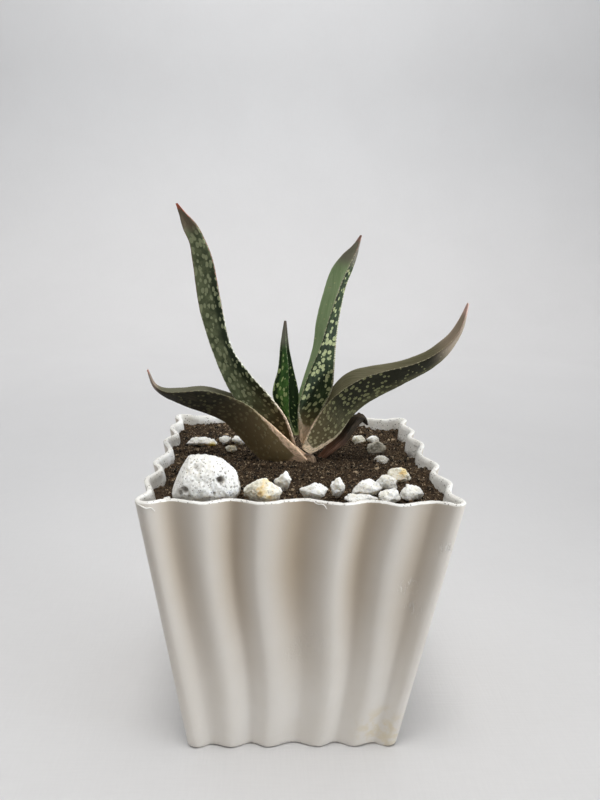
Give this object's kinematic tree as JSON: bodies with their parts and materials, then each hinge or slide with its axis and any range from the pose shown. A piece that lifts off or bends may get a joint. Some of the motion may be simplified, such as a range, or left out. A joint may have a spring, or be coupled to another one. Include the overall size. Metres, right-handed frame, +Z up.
{
  "type": "potted gasteria",
  "caption": "Young keeled succulent with spotted leaves in soil dressed with white stones, in a square tapered plastic pot with draped ribs.",
  "frame": {"origin": "centre of the pot's foot, on the surface that the pot stands on", "axes": "+Z up, -Y towards the side from which the plant shows its broad view, +X to the right of that view"},
  "size_m": [0.1094, 0.1, 0.1826],
  "materials": {
    "pot_plastic": "satin",
    "potting_soil": "matte",
    "leaf_sheath": "satin",
    "leaf_grey_green": "satin",
    "leaf_dark_olive": "satin",
    "leaf_fresh_green": "satin",
    "leaf_withered_brown": "matte",
    "stone_white": "matte",
    "stone_cream": "matte",
    "stone_grey": "matte"
  },
  "bodies": {
    "root": {"pot": "pot_plastic", "soil": "potting_soil", "crown": "leaf_sheath", "leaf_tall_left": "leaf_grey_green", "leaf_low_left": "leaf_dark_olive", "leaf_centre": "leaf_fresh_green", "leaf_tall_right": "leaf_fresh_green", "leaf_spreading_right": "leaf_grey_green", "leaf_withered": "leaf_withered_brown", "stone_big_white": "stone_white", "stone_front_left_chip": "stone_white", "stone_cream_chunk": "stone_cream", "stone_upright_chip": "stone_white", "stone_front_wedge": "stone_white", "stone_narrow_chip": "stone_white", "stone_front_flat": "stone_white", "stone_long_white": "stone_white", "stone_right_chip": "stone_white", "stone_amber": "stone_cream", "stone_right_block": "stone_white", "stone_right_front": "stone_white", "stone_back_bar": "stone_white", "stone_back_bead": "stone_white", "stone_back_chunk": "stone_white", "stone_back_crumb": "stone_cream", "stone_back_amber": "stone_cream", "stone_back_white": "stone_white", "stone_back_grey": "stone_grey", "stone_side_crumb": "stone_white"}
  },
  "joints": []
}
